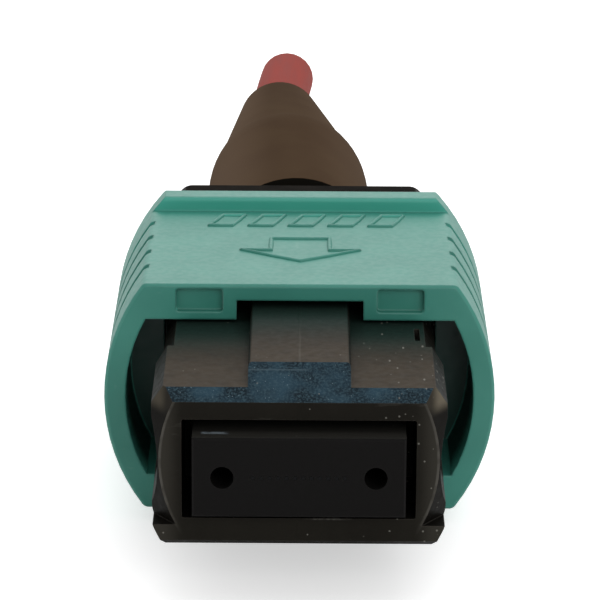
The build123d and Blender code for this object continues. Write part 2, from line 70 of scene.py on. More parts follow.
FLOOR_HEIGHT = -4.23 * MM
FLOOR_HALF = 0.9


def camera():
    """The photograph's view: in front, above, looking down the plug with a slight roll."""
    data = bpy.data.cameras.new("camera")
    data.sensor_width = SENSOR
    data.lens = CAMERA_FOCAL_PIXELS * SENSOR / PHOTO_WIDTH
    data.clip_start = 0.005
    data.clip_end = 10.0
    view = bpy.data.objects.new("camera", data)
    bpy.context.collection.objects.link(view)
    tilt = Matrix.Rotation(math.radians(90 - CAMERA_TILT), 4, "X")
    roll = Matrix.Rotation(math.radians(CAMERA_ROLL), 4, "Z")
    view.matrix_world = Matrix.Translation(CAMERA_PLACE) @ tilt @ roll
    bpy.context.scene.camera = view


# Materials

class Paint:
    """A node material with one Principled shader and helpers that chain texture nodes in millimetres."""

    def __init__(self, name):
        self.material = bpy.data.materials.new(name)
        self.material.use_nodes = True
        self.tree = self.material.node_tree
        self.shader = self.tree.nodes["Principled BSDF"]
        self.coordinates = self.tree.nodes.new("ShaderNodeTexCoord")
        self.millimetres = self.vector("MULTIPLY", self.coordinates.outputs["Object"], (1 / MM,) * 3)

    def link(self, source, target):
        self.tree.links.new(source, target)
        return source

    def put(self, socket, value):
        """Set a socket to a number or colour, or link it to another node's output."""
        if isinstance(value, bpy.types.NodeSocket):
            self.link(value, socket)
        else:
            socket.default_value = value

    def vector(self, operation, a, b):
        node = self.tree.nodes.new("ShaderNodeVectorMath")
        node.operation = operation
        self.put(node.inputs[0], a)
        self.put(node.inputs[1], b)
        return node.outputs["Value"] if operation == "DOT_PRODUCT" else node.outputs["Vector"]

    def math(self, operation, a, b=0.0, clamp=False):
        node = self.tree.nodes.new("ShaderNodeMath")
        node.operation = operation
        node.use_clamp = clamp
        self.put(node.inputs[0], a)
        self.put(node.inputs[1], b)
        return node.outputs[0]

    def noise(self, scale, detail=2.0, roughness=0.5, stretch=(1, 1, 1)):
        node = self.tree.nodes.new("ShaderNodeTexNoise")
        self.link(self.vector("MULTIPLY", self.millimetres, stretch), node.inputs["Vector"])
        node.inputs["Scale"].default_value = scale
        node.inputs["Detail"].default_value = detail
        node.inputs["Roughness"].default_value = roughness
        return node.outputs["Fac"]

    def specks(self, scale, size, stretch=(1, 1, 1)):
        """Dust specks: 1 inside them and 0 outside."""
        node = self.tree.nodes.new("ShaderNodeTexVoronoi")
        self.link(self.vector("MULTIPLY", self.millimetres, stretch), node.inputs["Vector"])
        node.inputs["Scale"].default_value = scale
        near = self.ramp(node.outputs["Distance"], size * 0.6, size, 1.0, 0.0)
        pick = self.tree.nodes.new("ShaderNodeSeparateColor")
        self.link(node.outputs["Color"], pick.inputs[0])
        return self.math("MULTIPLY", near, self.math("GREATER_THAN", pick.outputs[0], 0.72))

    def ramp(self, value, low, high, out_low=0.0, out_high=1.0):
        """A smooth step from one level to another as the value goes from low to high."""
        node = self.tree.nodes.new("ShaderNodeMapRange")
        node.interpolation_type = "SMOOTHSTEP"
        self.put(node.inputs["Value"], value)
        node.inputs["From Min"].default_value = low
        node.inputs["From Max"].default_value = high
        node.inputs["To Min"].default_value = out_low
        node.inputs["To Max"].default_value = out_high
        return node.outputs["Result"]

    def mix(self, share, a, b):
        """Colour a where the share is 0, colour b where it is 1."""
        node = self.tree.nodes.new("ShaderNodeMix")
        node.data_type = "RGBA"
        self.put(node.inputs["Factor"], share)
        for socket, value in ((node.inputs[6], a), (node.inputs[7], b)):
            is_colour = isinstance(value, tuple) and len(value) == 3
            self.put(socket, (*value, 1.0) if is_colour else value)
        return node.outputs[2]

    def axis(self, letter):
        """One coordinate of the point, in millimetres."""
        node = self.tree.nodes.new("ShaderNodeSeparateXYZ")
        self.link(self.millimetres, node.inputs[0])
        return node.outputs[letter]

    def band(self, letter, low, high, soft):
        """1 between two places along one axis in millimetres, fading to 0 over a soft width."""
        place = self.axis(letter)
        rise = self.ramp(place, low - soft, low)
        return self.math("MULTIPLY", rise, self.ramp(place, high, high + soft, 1.0, 0.0))

    def ring(self, centre_height, low, high, soft):
        """1 between two distances from a line along Y at x = 0, fading to 0 over a soft width."""
        node = self.tree.nodes.new("ShaderNodeVectorMath")
        node.operation = "LENGTH"
        flat = self.vector("MULTIPLY", self.millimetres, (1, 0, 1))
        self.put(node.inputs[0], self.vector("SUBTRACT", flat, (0, 0, centre_height)))
        reach = node.outputs["Value"]
        rise = self.ramp(reach, low - soft, low)
        return self.math("MULTIPLY", rise, self.ramp(reach, high, high + soft, 1.0, 0.0))

    def facing(self, direction, low, high):
        """1 where the surface faces this direction of the object's own frame, 0 where it doesn't."""
        unit = tuple(Vector(direction).normalized())
        dot = self.vector("DOT_PRODUCT", self.coordinates.outputs["Normal"], unit)
        return self.ramp(dot, low, high)

    def bump(self, height, distance, strength=1.0, normal=None):
        node = self.tree.nodes.new("ShaderNodeBump")
        node.inputs["Strength"].default_value = strength
        node.inputs["Distance"].default_value = distance
        self.put(node.inputs["Height"], height)
        if normal is not None:
            self.link(normal, node.inputs["Normal"])
        return node.outputs["Normal"]

    def soft_edge(self, radius):
        node = self.tree.nodes.new("ShaderNodeBevel")
        node.samples = 6
        node.inputs["Radius"].default_value = radius
        return node.outputs["Normal"]

    def worn_edges(self, radius, low=0.02, high=0.30):
        """1 along the piece's edges and 0 on its faces, where the rounded and the true normal agree."""
        rounded = self.tree.nodes.new("ShaderNodeBevel")
        rounded.samples = 6
        rounded.inputs["Radius"].default_value = radius
        true = self.tree.nodes.new("ShaderNodeNewGeometry")
        dot = self.vector("DOT_PRODUCT", rounded.outputs["Normal"], true.outputs["Normal"])
        return self.ramp(self.math("SUBTRACT", 1.0, dot), low, high)

    def finish(self, colour, roughness, normal=None, specular=0.5, sheen=0.0, metallic=0.0):
        """Join the colour, roughness and normal to the shader and give back the material."""
        shader = self.shader
        self.put(shader.inputs["Base Color"], (*colour, 1.0) if isinstance(colour, tuple) else colour)
        self.put(shader.inputs["Roughness"], roughness)
        shader.inputs["Specular IOR Level"].default_value = specular
        shader.inputs["Coat Weight"].default_value = 0.0
        shader.inputs["Sheen Weight"].default_value = sheen
        shader.inputs["Metallic"].default_value = metallic
        if normal is not None:
            self.link(normal, shader.inputs["Normal"])
        return self.material


# Places on the sleeve in mm: its mouth, the painted shade inside behind it, and the raised lip at its rear
SLEEVE_MOUTH = 7.35
SLEEVE_PAINTED_SHADE = 9.0
SLEEVE_STEP = (8.6, 13.0)
SLEEVE_BORE_RADIUS = 5.45
SLEEVE_ROOF = (3.0, 3.2)
SLEEVE_REAR_HALF = (12.0, 14.0)
LIP_FRONT = (14.0, 15.0)

# Linear colours of the sleeve, with painted light on the lip's riser and at the mouth, and painted shade
# deeper inside
AQUA = ((0.034, 0.236, 0.182), (0.042, 0.260, 0.201))
AQUA_SCUFF = (0.35, 0.5, 0.45)
AQUA_EDGE = (0.30, 0.52, 0.46)
AQUA_LIP_PAINTED_LIGHT = (0.055, 0.40, 0.31)
AQUA_MOUTH_PAINTED_LIGHT = (0.11, 0.50, 0.40)
AQUA_WALL_PAINTED_SHADE = (0.010, 0.060, 0.046)
AQUA_STEP_PAINTED_SHADE = (0.012, 0.070, 0.055)


def aqua_plastic():
    """Satin moulded aqua: slow mottle, fine spark-eroded grain, faint scuffs, pale edges, a painted lit
    riser on the lip, and painted light at the mouth fading to painted shade inside.
    """
    paint = Paint("aqua_plastic")
    mottle = paint.ramp(paint.noise(0.6, 3.0), 0.3, 0.7)
    colour = paint.mix(mottle, *AQUA)
    scuff = paint.ramp(paint.noise(2.2, 4.0, 0.6, (1.0, 0.15, 1.0)), 0.66, 0.74)
    colour = paint.mix(paint.math("MULTIPLY", scuff, 0.06), colour, AQUA_SCUFF)
    edges = paint.math("MULTIPLY", paint.worn_edges(0.07 * MM), 0.30)
    colour = paint.mix(edges, colour, AQUA_EDGE)
    along = paint.axis("Y")
    # Painted light: the lip's forward-facing riser is painted lighter, as if lit from above.
    painted_lit_riser = paint.math("MULTIPLY", paint.facing((0, -1, 0), 0.3, 0.9), paint.ramp(along, *LIP_FRONT))
    colour = paint.mix(painted_lit_riser, colour, AQUA_LIP_PAINTED_LIGHT)
    # Painted light and shade: inward-facing walls are painted light at the mouth and painted shade deeper
    # in.
    sideways = paint.vector("DOT_PRODUCT", paint.coordinates.outputs["Normal"], (1, 0, 0))
    inward = paint.ramp(paint.math("MULTIPLY", paint.axis("X"), sideways), -3.0, -1.5, 1.0, 0.0)
    inward = paint.math("MULTIPLY", inward, paint.ramp(along, *SLEEVE_REAR_HALF, 1.0, 0.0))
    depth = paint.ramp(along, SLEEVE_MOUTH, SLEEVE_PAINTED_SHADE)
    wall = paint.mix(depth, AQUA_MOUTH_PAINTED_LIGHT, AQUA_WALL_PAINTED_SHADE)
    colour = paint.mix(inward, colour, wall)
    # Painted shade: the forward-facing shoulder inside the bore is painted dark.
    step = paint.math("MULTIPLY", paint.facing((0, -1, 0), 0.5, 0.9), paint.band("Y", *SLEEVE_STEP, 0.4))
    step = paint.math("MULTIPLY", step, paint.ring(0.0, 0.0, SLEEVE_BORE_RADIUS, 0.05))
    step = paint.math("MULTIPLY", step, paint.ramp(paint.axis("Z"), *SLEEVE_ROOF, 1.0, 0.0))
    colour = paint.mix(step, colour, AQUA_STEP_PAINTED_SHADE)
    roughness = paint.ramp(paint.noise(5.0, 3.0), 0.25, 0.75, 0.40, 0.50)
    grain = paint.noise(26.0, 2.0)
    normal = paint.bump(grain, 0.004 * MM, 0.2, paint.soft_edge(0.10 * MM))
    return paint.finish(colour, roughness, normal, specular=0.55)


# Edge of the nose's rounded lead-in, as a circle round a line along the plug in mm, where a painted
# highlight runs
LEAD_IN_CENTRE = 0.33
LEAD_IN_RADIUS = 4.22
LEAD_IN_COLUMN = (3.45, 4.15)
RIM_WIDTH = 0.05

# Places on the nose in mm, and the directions that its front slope and corner facets face
TOP_HEIGHT = (1.2, 1.6)
GREEN_REFLECTION_SPAN = (3.0, 6.0)
BROWN_FILM_SHADE_FADE = (2.4, 6.4)
SLOPE_FACING = (0, -0.485, 0.875)
FACET_FACING = (0.78, -0.54, 0.32)
FACET_HEIGHT = (1.7, 2.1)
FACET_SIDE = (3.92, 4.22)
FACET_PAINTED_LIGHT = {-1: 0.30, 1: 0.60}
SCRATCH_ACROSS = (-1.4, 0.1)
SCRATCH_HEIGHT = (2.84, 2.85)
RUB_ACROSS = (0.5, 1.3)
RUB_HEIGHT = (-1.51, -1.46)
DUSTY_SIDE = (1.4, 3.0)

# Linear colours of the nose, with a painted blue reflection and painted glints on the front slope, painted
# light on the corner facets, a painted highlight on the lead-in rim and a painted green reflection on top
BLACK = ((0.0125, 0.0112, 0.0088), (0.0150, 0.0135, 0.0105))
BLACK_FLANK = (0.0070, 0.0062, 0.0050)
COLUMN_GREY = (0.036, 0.033, 0.027)
RIM_HIGHLIGHT_GREY = (0.085, 0.080, 0.070)
PAINTED_GREEN_REFLECTION = (0.011, 0.022, 0.018)
FILM_BROWN = (0.044, 0.032, 0.020)
SEAM_GREY = (0.13, 0.12, 0.10)
SLOPE_REFLECTION_BLUES = ((0.007, 0.014, 0.020), (0.022, 0.052, 0.076))
FROST_REFLECTION_BLUE = (0.042, 0.080, 0.102)
GLINT_BLUE = (0.30, 0.42, 0.48)
SCRATCH_BLUE = (0.11, 0.16, 0.19)
FACET_LIGHT_TAN = (0.21, 0.18, 0.13)
DUST_GREY = (0.35, 0.34, 0.30)
RUB_GREY = (0.22, 0.21, 0.19)
SCUFF_GREY = (0.20, 0.19, 0.17)
EDGE_GREY = (0.22, 0.20, 0.17)


def black_plastic():
    """Black moulded nose: warm brown-black, a frosted front slope with a painted blue reflection and
    glints, a parting line, dust, painted light on the corner facets, a painted highlight on the lead-in
    rim, a painted green reflection on top near the sleeve, and a top dust film whose fade is painted
    shade.
    """
    paint = Paint("black_plastic")
    along = paint.axis("Y")
    mottle = paint.ramp(paint.noise(0.9, 3.0), 0.3, 0.7)
    base = paint.mix(mottle, *BLACK)
    front_faces = paint.facing((0, -1, 0), 0.80, 0.95)
    base = paint.mix(front_faces, BLACK_FLANK, base)
    across = paint.math("ABSOLUTE", paint.axis("X"))
    columns = paint.math("MULTIPLY", front_faces, paint.ramp(across, *LEAD_IN_COLUMN))
    base = paint.mix(columns, base, COLUMN_GREY)
    # Painted highlight: a pale broken line along the edge of the lead-in.
    rim_highlight = paint.ring(LEAD_IN_CENTRE, LEAD_IN_RADIUS - RIM_WIDTH, LEAD_IN_RADIUS, RIM_WIDTH)
    rim_highlight = paint.math("MULTIPLY", rim_highlight, columns)
    rim_highlight = paint.math("MULTIPLY", rim_highlight, paint.ramp(paint.noise(2.0, 3.0, 0.6), 0.30, 0.60, 0.3, 1.0))
    base = paint.mix(rim_highlight, base, RIM_HIGHLIGHT_GREY)
    tops = paint.facing((0, 0, 1), 0.70, 0.95)
    tops = paint.math("MULTIPLY", tops, paint.ramp(paint.axis("Z"), *TOP_HEIGHT))
    # Painted reflection: a green tint on top faces near the sleeve stands in for its reflected light.
    green = paint.math("MULTIPLY", tops, paint.ramp(along, *GREEN_REFLECTION_SPAN))
    base = paint.mix(green, base, PAINTED_GREEN_REFLECTION)
    # A brown dust film on top faces; its fade towards the rear is painted shade under the sleeve.
    dust_film_and_shade = paint.math("MULTIPLY", tops, paint.ramp(along, *BROWN_FILM_SHADE_FADE, 1.0, 0.0))
    dust_film_and_shade = paint.math("MULTIPLY", dust_film_and_shade, paint.ramp(paint.noise(1.6, 3.0, 0.6), 0.25, 0.6, 0.7, 1.0))
    base = paint.mix(dust_film_and_shade, base, FILM_BROWN)
    seam = paint.math("MULTIPLY", dust_film_and_shade, paint.ramp(across, 0.02, 0.05, 0.20, 0.0))
    base = paint.mix(seam, base, SEAM_GREY)
    # Painted reflection: the frosted front slope gets a painted blue reflection with painted glints.
    slope = paint.facing(SLOPE_FACING, 0.965, 0.985)
    frost = paint.ramp(paint.noise(14.0, 3.0, 0.7), 0.42, 0.72)
    patches = paint.ramp(paint.noise(0.8, 3.0, 0.5), 0.36, 0.64)
    blue = paint.mix(frost, paint.mix(patches, *SLOPE_REFLECTION_BLUES), FROST_REFLECTION_BLUE)
    painted_glints = paint.math("MULTIPLY", paint.specks(9.0, 0.16), 0.5)
    blue = paint.mix(painted_glints, blue, GLINT_BLUE)
    scratch = paint.math(
        "MULTIPLY",
        paint.band("X", *SCRATCH_ACROSS, 0.3),
        paint.band("Z", *SCRATCH_HEIGHT, 0.02),
    )
    blue = paint.mix(paint.math("MULTIPLY", scratch, 0.3), blue, SCRATCH_BLUE)
    # Painted light: the corner facets are painted lighter, one side more than the other.
    sideways, forward, upward = FACET_FACING
    for side, facet_light in FACET_PAINTED_LIGHT.items():
        lit_facet = paint.math("MULTIPLY", paint.facing((side * sideways, forward, upward), 0.96, 0.99), facet_light)
        lit_facet = paint.math("MULTIPLY", lit_facet, paint.ramp(paint.axis("Z"), *FACET_HEIGHT))
        lit_facet = paint.math("MULTIPLY", lit_facet, paint.ramp(across, *FACET_SIDE, 0.20, 1.0))
        base = paint.mix(lit_facet, base, FACET_LIGHT_TAN)
    colour = paint.mix(slope, base, blue)
    dust_and_side_light = paint.specks(3.2, 0.10)
    drift = paint.specks(5.0, 0.20, (1.0, 0.35, 1.0))
    drift = paint.math("MULTIPLY", drift, paint.ramp(paint.axis("X"), *DUSTY_SIDE))
    dust_and_side_light = paint.math("MAXIMUM", dust_and_side_light, drift)
    colour = paint.mix(paint.math("MULTIPLY", dust_and_side_light, 0.40), colour, DUST_GREY)
    rub = paint.math("MULTIPLY", paint.band("Z", *RUB_HEIGHT, 0.03), paint.band("X", *RUB_ACROSS, 0.4))
    rub = paint.math("MULTIPLY", rub, paint.ramp(paint.noise(4.0, 3.0, 0.7), 0.35, 0.65))
    colour = paint.mix(paint.math("MULTIPLY", rub, 0.35), colour, RUB_GREY)
    scuff = paint.ramp(paint.noise(3.0, 4.0, 0.6, (0.2, 1.0, 1.0)), 0.68, 0.73)
    colour = paint.mix(paint.math("MULTIPLY", scuff, 0.06), colour, SCUFF_GREY)
    edges = paint.math("MULTIPLY", paint.worn_edges(0.06 * MM), 0.20)
    colour = paint.mix(edges, colour, EDGE_GREY)
    roughness = paint.ramp(paint.noise(4.0, 3.0), 0.25, 0.75, 0.40, 0.52)
    parting = paint.ramp(across, 0.02, 0.06, 1.0, 0.0)
    grain = paint.math("ADD", paint.noise(22.0, 2.0), paint.math("MULTIPLY", parting, 2.0))
    frosting = paint.math("MULTIPLY", slope, paint.noise(30.0, 2.0, 0.6))
    grain = paint.math("ADD", grain, paint.math("MULTIPLY", frosting, 3.0))
    normal = paint.bump(grain, 0.005 * MM, 0.6, paint.soft_edge(0.05 * MM))
    return paint.finish(colour, roughness, normal, specular=0.035)


PUSH_BLACK = ((0.009, 0.008, 0.007), (0.014, 0.012, 0.010))
PUSH_EDGE = (0.20, 0.18, 0.16)


def push_plastic():
    """Black moulded rear half, with a matt top face."""
    paint = Paint("push_plastic")
    mottle = paint.ramp(paint.noise(1.2, 3.0), 0.3, 0.7)
    colour = paint.mix(mottle, *PUSH_BLACK)
    edges = paint.math("MULTIPLY", paint.worn_edges(0.07 * MM), 0.10)
    colour = paint.mix(edges, colour, PUSH_EDGE)
    roughness = paint.ramp(paint.noise(4.0, 3.0), 0.25, 0.75, 0.42, 0.55)
    roughness = paint.math("MAXIMUM", roughness, paint.facing((0, 0, 1), 0.80, 0.95))
    normal = paint.bump(paint.noise(20.0, 2.0), 0.005 * MM, 0.6, paint.soft_edge(0.06 * MM))
    return paint.finish(colour, roughness, normal, specular=0.03)


# The ferrule's top face and a pale streak on it in mm
FERRULE_TOP = (1.0, 1.1)
STREAK_ACROSS = (-2.85, -2.2)
STREAK_ALONG = (0.42, 0.56)

# Linear colours of the ferrule
COMPOUND = ((0.0075, 0.0070, 0.0068), (0.013, 0.0125, 0.012))
COMPOUND_TOP = (0.026, 0.025, 0.022)
STREAK_GREY = (0.16, 0.19, 0.21)
COMPOUND_DUST = (0.30, 0.30, 0.28)
COMPOUND_EDGE = (0.25, 0.25, 0.24)


def ferrule_compound():
    """Dark glass-filled compound: fine mineral flecks, faint polishing marks and a pale streak on the top
    face.
    """
    paint = Paint("ferrule_compound")
    flecks = paint.ramp(paint.noise(34.0, 2.0, 0.6), 0.62, 0.70)
    colour = paint.mix(flecks, *COMPOUND)
    upper = paint.facing((0, 0, 1), 0.7, 0.95)
    upper = paint.math("MULTIPLY", upper, paint.ramp(paint.axis("Z"), *FERRULE_TOP))
    colour = paint.mix(upper, colour, COMPOUND_TOP)
    pale_streak = paint.math(
        "MULTIPLY",
        paint.band("X", *STREAK_ACROSS, 0.12),
        paint.band("Y", *STREAK_ALONG, 0.05),
    )
    pale_streak = paint.math("MULTIPLY", pale_streak, paint.ramp(paint.noise(5.0, 3.0, 0.7), 0.30, 0.55))
    colour = paint.mix(paint.math("MULTIPLY", pale_streak, upper), colour, STREAK_GREY)
    dust_and_side_light = paint.specks(2.4, 0.07)
    colour = paint.mix(paint.math("MULTIPLY", dust_and_side_light, 0.22), colour, COMPOUND_DUST)
    edges = paint.math("MULTIPLY", paint.worn_edges(0.04 * MM), 0.05)
    colour = paint.mix(edges, colour, COMPOUND_EDGE)
    roughness = paint.ramp(paint.noise(9.0, 4.0, 0.6, (0.25, 1.0, 1.0)), 0.3, 0.7, 0.34, 0.46)
    grain = paint.noise(24.0, 2.0, 0.5, (0.3, 1.0, 1.0))
    normal = paint.bump(grain, 0.003 * MM, 0.4, paint.soft_edge(0.03 * MM))
    return paint.finish(colour, roughness, normal, specular=0.05)


BOOT_SIDE_LIGHT_SHARES = {-1: 0.75, 1: 0.30}
BOOT_BROWN = ((0.056, 0.032, 0.0165), (0.064, 0.038, 0.0195))
BOOT_SIDE_LIGHT = (0.115, 0.074, 0.046)
BOOT_FRONT_PAINTED_SHADE = (0.010, 0.009, 0.007)


def boot_rubber():
    """Smooth warm grey-brown boot: slow mottle, fine matt grain, painted light on its sides, more on the
    left, and painted shade on its front end.
    """
    paint = Paint("boot_rubber")
    mottle = paint.ramp(paint.noise(0.35, 3.0), 0.3, 0.7)
    colour = paint.mix(mottle, *BOOT_BROWN)
    # Painted light: the boot's sides are painted lighter, more on the left.
    for side, dust_and_side_light in BOOT_SIDE_LIGHT_SHARES.items():
        lit_flank = paint.math("MULTIPLY", paint.facing((side, 0, 0.2), 0.35, 1.0), dust_and_side_light)
        colour = paint.mix(lit_flank, colour, BOOT_SIDE_LIGHT)
    # Painted shade: the boot's forward-facing front end is painted dark.
    shaded_front_end = paint.facing((0, -1, 0), 0.70, 0.95)
    colour = paint.mix(shaded_front_end, colour, BOOT_FRONT_PAINTED_SHADE)
    roughness = paint.ramp(paint.noise(2.5, 3.0), 0.25, 0.75, 0.52, 0.62)
    normal = paint.bump(paint.noise(18.0, 1.0), 0.003 * MM, 0.10, paint.soft_edge(0.10 * MM))
    return paint.finish(colour, roughness, normal, specular=0.0, sheen=0.03)


# Where the jacket leaves the boot and gets painted shade, in mm along the plug
JACKET_SHADE_SPAN = (41.8, 43.3)
JACKET_RED = ((0.26, 0.042, 0.032), (0.31, 0.052, 0.040))
SHADE_BROWN = (0.060, 0.030, 0.020)


def jacket_plastic():
    """Extruded dusty red jacket: long faint draw lines and a matt skin, with painted shade where it leaves
    the boot.
    """
    paint = Paint("jacket_plastic")
    drawn = paint.noise(3.0, 3.0, 0.6, (1.0, 0.08, 1.0))
    colour = paint.mix(paint.ramp(drawn, 0.3, 0.7), *JACKET_RED)
    # Painted shade: darker where the jacket leaves the boot.
    painted_jacket_shade = paint.ramp(paint.axis("Y"), *JACKET_SHADE_SPAN, 0.75, 0.0)
    colour = paint.mix(painted_jacket_shade, colour, SHADE_BROWN)
    skin = paint.noise(12.0, 2.0, 0.5, (1.0, 0.1, 1.0))
    normal = paint.bump(skin, 0.006 * MM, 0.4, paint.soft_edge(0.05 * MM))
    return paint.finish(colour, paint.ramp(drawn, 0.3, 0.7, 0.50, 0.60), normal, specular=0.03)


def soft_rubber():
    """Matt dark rubber of the ferrule's boot."""
    paint = Paint("soft_rubber")
    colour = paint.mix(paint.noise(2.0, 3.0), (0.03, 0.03, 0.03), (0.05, 0.05, 0.048))
    normal = paint.bump(paint.noise(18.0), 0.005 * MM, 0.5)
    return paint.finish(colour, paint.ramp(paint.noise(5.0), 0.3, 0.7, 0.55, 0.7), normal, specular=0.3)


def spacer_plastic():
    """Grey moulded spacer with a fine grain."""
    paint = Paint("spacer_plastic")
    colour = paint.mix(paint.noise(1.5, 3.0), (0.08, 0.08, 0.078), (0.12, 0.12, 0.115))
    normal = paint.bump(paint.noise(20.0), 0.004 * MM, 0.5, paint.soft_edge(0.04 * MM))
    return paint.finish(colour, paint.ramp(paint.noise(5.0), 0.3, 0.7, 0.4, 0.55), normal)


def spring_wire():
    """Drawn steel: fine lines round the wire and slightly uneven gloss."""
    paint = Paint("spring_wire")
    lines = paint.noise(30.0, 2.0, 0.5, (1.0, 3.0, 1.0))
    colour = paint.mix(lines, (0.46, 0.45, 0.43), (0.62, 0.61, 0.59))
    normal = paint.bump(lines, 0.003 * MM, 0.4)
    return paint.finish(colour, paint.ramp(lines, 0.3, 0.7, 0.22, 0.36), normal, metallic=1.0)


def crimp_metal():
    """Turned bright metal: fine rings round the plug's axis."""
    paint = Paint("crimp_metal")
    turned = paint.noise(9.0, 3.0, 0.5, (0.1, 3.0, 0.1))
    colour = paint.mix(turned, (0.52, 0.51, 0.49), (0.68, 0.67, 0.65))
    normal = paint.bump(turned, 0.006 * MM, 0.5, paint.soft_edge(0.04 * MM))
    return paint.finish(colour, paint.ramp(turned, 0.3, 0.7, 0.28, 0.42), normal, metallic=1.0)


def yarn():
    """Golden yarn with fine lines along the strands."""
    paint = Paint("yarn")
    strands = paint.noise(16.0, 3.0, 0.6, (1.0, 0.06, 1.0))
    colour = paint.mix(paint.ramp(strands, 0.35, 0.65), (0.42, 0.28, 0.05), (0.72, 0.56, 0.18))
    normal = paint.bump(strands, 0.03 * MM, 0.8)
    return paint.finish(colour, 0.55, normal, sheen=0.3)


FIBRE_COLOURS = {
    "fibre_blue": (0.02, 0.09, 0.45),
    "fibre_orange": (0.75, 0.20, 0.02),
    "fibre_green": (0.03, 0.32, 0.08),
    "fibre_brown": (0.15, 0.06, 0.025),
    "fibre_slate": (0.20, 0.22, 0.24),
    "fibre_white": (0.78, 0.78, 0.75),
    "fibre_red": (0.50, 0.02, 0.02),
    "fibre_black": (0.012, 0.012, 0.012),
    "fibre_yellow": (0.78, 0.60, 0.03),
    "fibre_violet": (0.20, 0.05, 0.34),
    "fibre_rose": (0.78, 0.30, 0.40),
    "fibre_aqua": (0.05, 0.50, 0.50),
}
COAT_FRONT = 3.5
BARE_GLASS = (0.004, 0.004, 0.0045)


def fibre_coat(name):
    """Glossy coloured coat, with the bare glass tip in front of it."""
    paint = Paint(name)
    tint = FIBRE_COLOURS[name]
    darker = tuple(part * 0.8 for part in tint)
    coat = paint.mix(paint.noise(8.0, 2.0, 0.5, (1.0, 0.1, 1.0)), darker, tint)
    coated = paint.ramp(paint.axis("Y"), COAT_FRONT - 0.02, COAT_FRONT + 0.02)
    colour = paint.mix(coated, BARE_GLASS, coat)
    normal = paint.bump(paint.noise(20.0), 0.002 * MM, 0.4)
    return paint.finish(colour, 0.28, normal, specular=0.10)


MAKERS = {
    "aqua_plastic": aqua_plastic,
    "black_plastic": black_plastic,
    "push_plastic": push_plastic,
    "ferrule_compound": ferrule_compound,
    "soft_rubber": soft_rubber,
    "spacer_plastic": spacer_plastic,
    "spring_wire": spring_wire,
    "crimp_metal": crimp_metal,
    "boot_rubber": boot_rubber,
    "jacket_plastic": jacket_plastic,
    "yarn": yarn,
}


@functools.cache
def material_for(slot_name):
    """The material of a slot, made once. The fibres' slots differ only in their coats' colours."""
    if slot_name in MAKERS:
        return MAKERS[slot_name]()
    return fibre_coat(slot_name)


def dress(piece, slot_name):
    piece.data.materials.clear()
    piece.data.materials.append(material_for(slot_name))


def to_metres(points):
    return [tuple(part * MM for part in point) for point in points]


CREASE_ANGLE = math.radians(40)


def tubes(name, routes, order=3, closed=False, capped=True, rounding=3, smoothing=2):
    """One mesh of round tubes along smooth splines, from (points in mm, radius in mm) pairs."""
    data = bpy.data.curves.new(name, "CURVE")
    data.dimensions = "3D"
    data.bevel_depth = 1.0
    data.bevel_resolution = rounding
    data.use_fill_caps = capped
    for points, radius in routes:
        spline = data.splines.new("NURBS")
        spline.points.add(len(points) - 1)
        for point, place in zip(spline.points, to_metres(points)):
            point.co = (*place, 1.0)
            point.radius = radius * MM
        spline.order_u = order
        spline.use_endpoint_u = not closed
        spline.use_cyclic_u = closed
        spline.resolution_u = smoothing
    holder = bpy.data.objects.new(name + "_route", data)
    bpy.context.collection.objects.link(holder)
    bpy.context.view_layer.update()
    mesh = bpy.data.meshes.new_from_object(holder)
    bpy.data.objects.remove(holder)
    mesh.shade_smooth()
    mesh.set_sharp_from_angle(angle=CREASE_ANGLE)
    piece = bpy.data.objects.new(name, mesh)
    bpy.context.collection.objects.link(piece)
    return piece


def thicken(pipe, wall):
    """Give an open tube its wall, inwards from its skin."""
    shell = pipe.modifiers.new("wall", "SOLIDIFY")
    shell.thickness = wall * MM
    shell.offset = -1.0
    bpy.context.view_layer.update()
    walled = pipe.evaluated_get(bpy.context.evaluated_depsgraph_get())
    mesh = bpy.data.meshes.new_from_object(walled)
    pipe.modifiers.clear()
    pipe.data = mesh
    mesh.set_sharp_from_angle(angle=CREASE_ANGLE)


def flex(piece, node_name):
    """The piece rides the plug in place of its hidden node, with a mesh of its own."""
    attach(piece, "plug_body")
    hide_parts(node_name)
    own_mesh(piece)
    return piece


# Springs, smooth along the same coils as the solids', in mm
COIL_POINTS = 24
SEAT_GAP = 0.02
SIDE_SPRING = {"x": 4.75, "front": 11.92, "seat": 16.6, "wire": 0.12, "turns": 6, "radius": (0.6, 0.6)}
MAIN_SPRING = {"x": 0.0, "front": 9.14, "seat": 15.6, "wire": 0.17, "turns": 6, "radius": (2.6, 1.0)}


def coil(spring, side=1):
    """The route of one coil spring from its front end to its seat, round or oval."""
    wire = spring["wire"]
    front = spring["front"] + wire
    length = spring["seat"] - SEAT_GAP - wire - front
    steps = spring["turns"] * COIL_POINTS
    half_width, half_height = spring["radius"]
    points = []
    for step in range(steps + 1):
        angle = 2 * math.pi * step / COIL_POINTS
        x = side * spring["x"] + half_width * math.cos(angle)
        points.append((x, front + length * step / steps, half_height * math.sin(angle)))
    return [(points, wire)]


# The route of the cable past the neck, as x and y in mm, for the jacket, the yarn and the fibres.
# At the boot's tip it leans 0.3 mm further to the side than the solids' own, as in the photograph.
CABLE_ROUTE = [(0.0, 30.4), (0.0, 32.2), (-0.66, 37.0), (-1.08, 42.4), (-0.60, 48.9)]

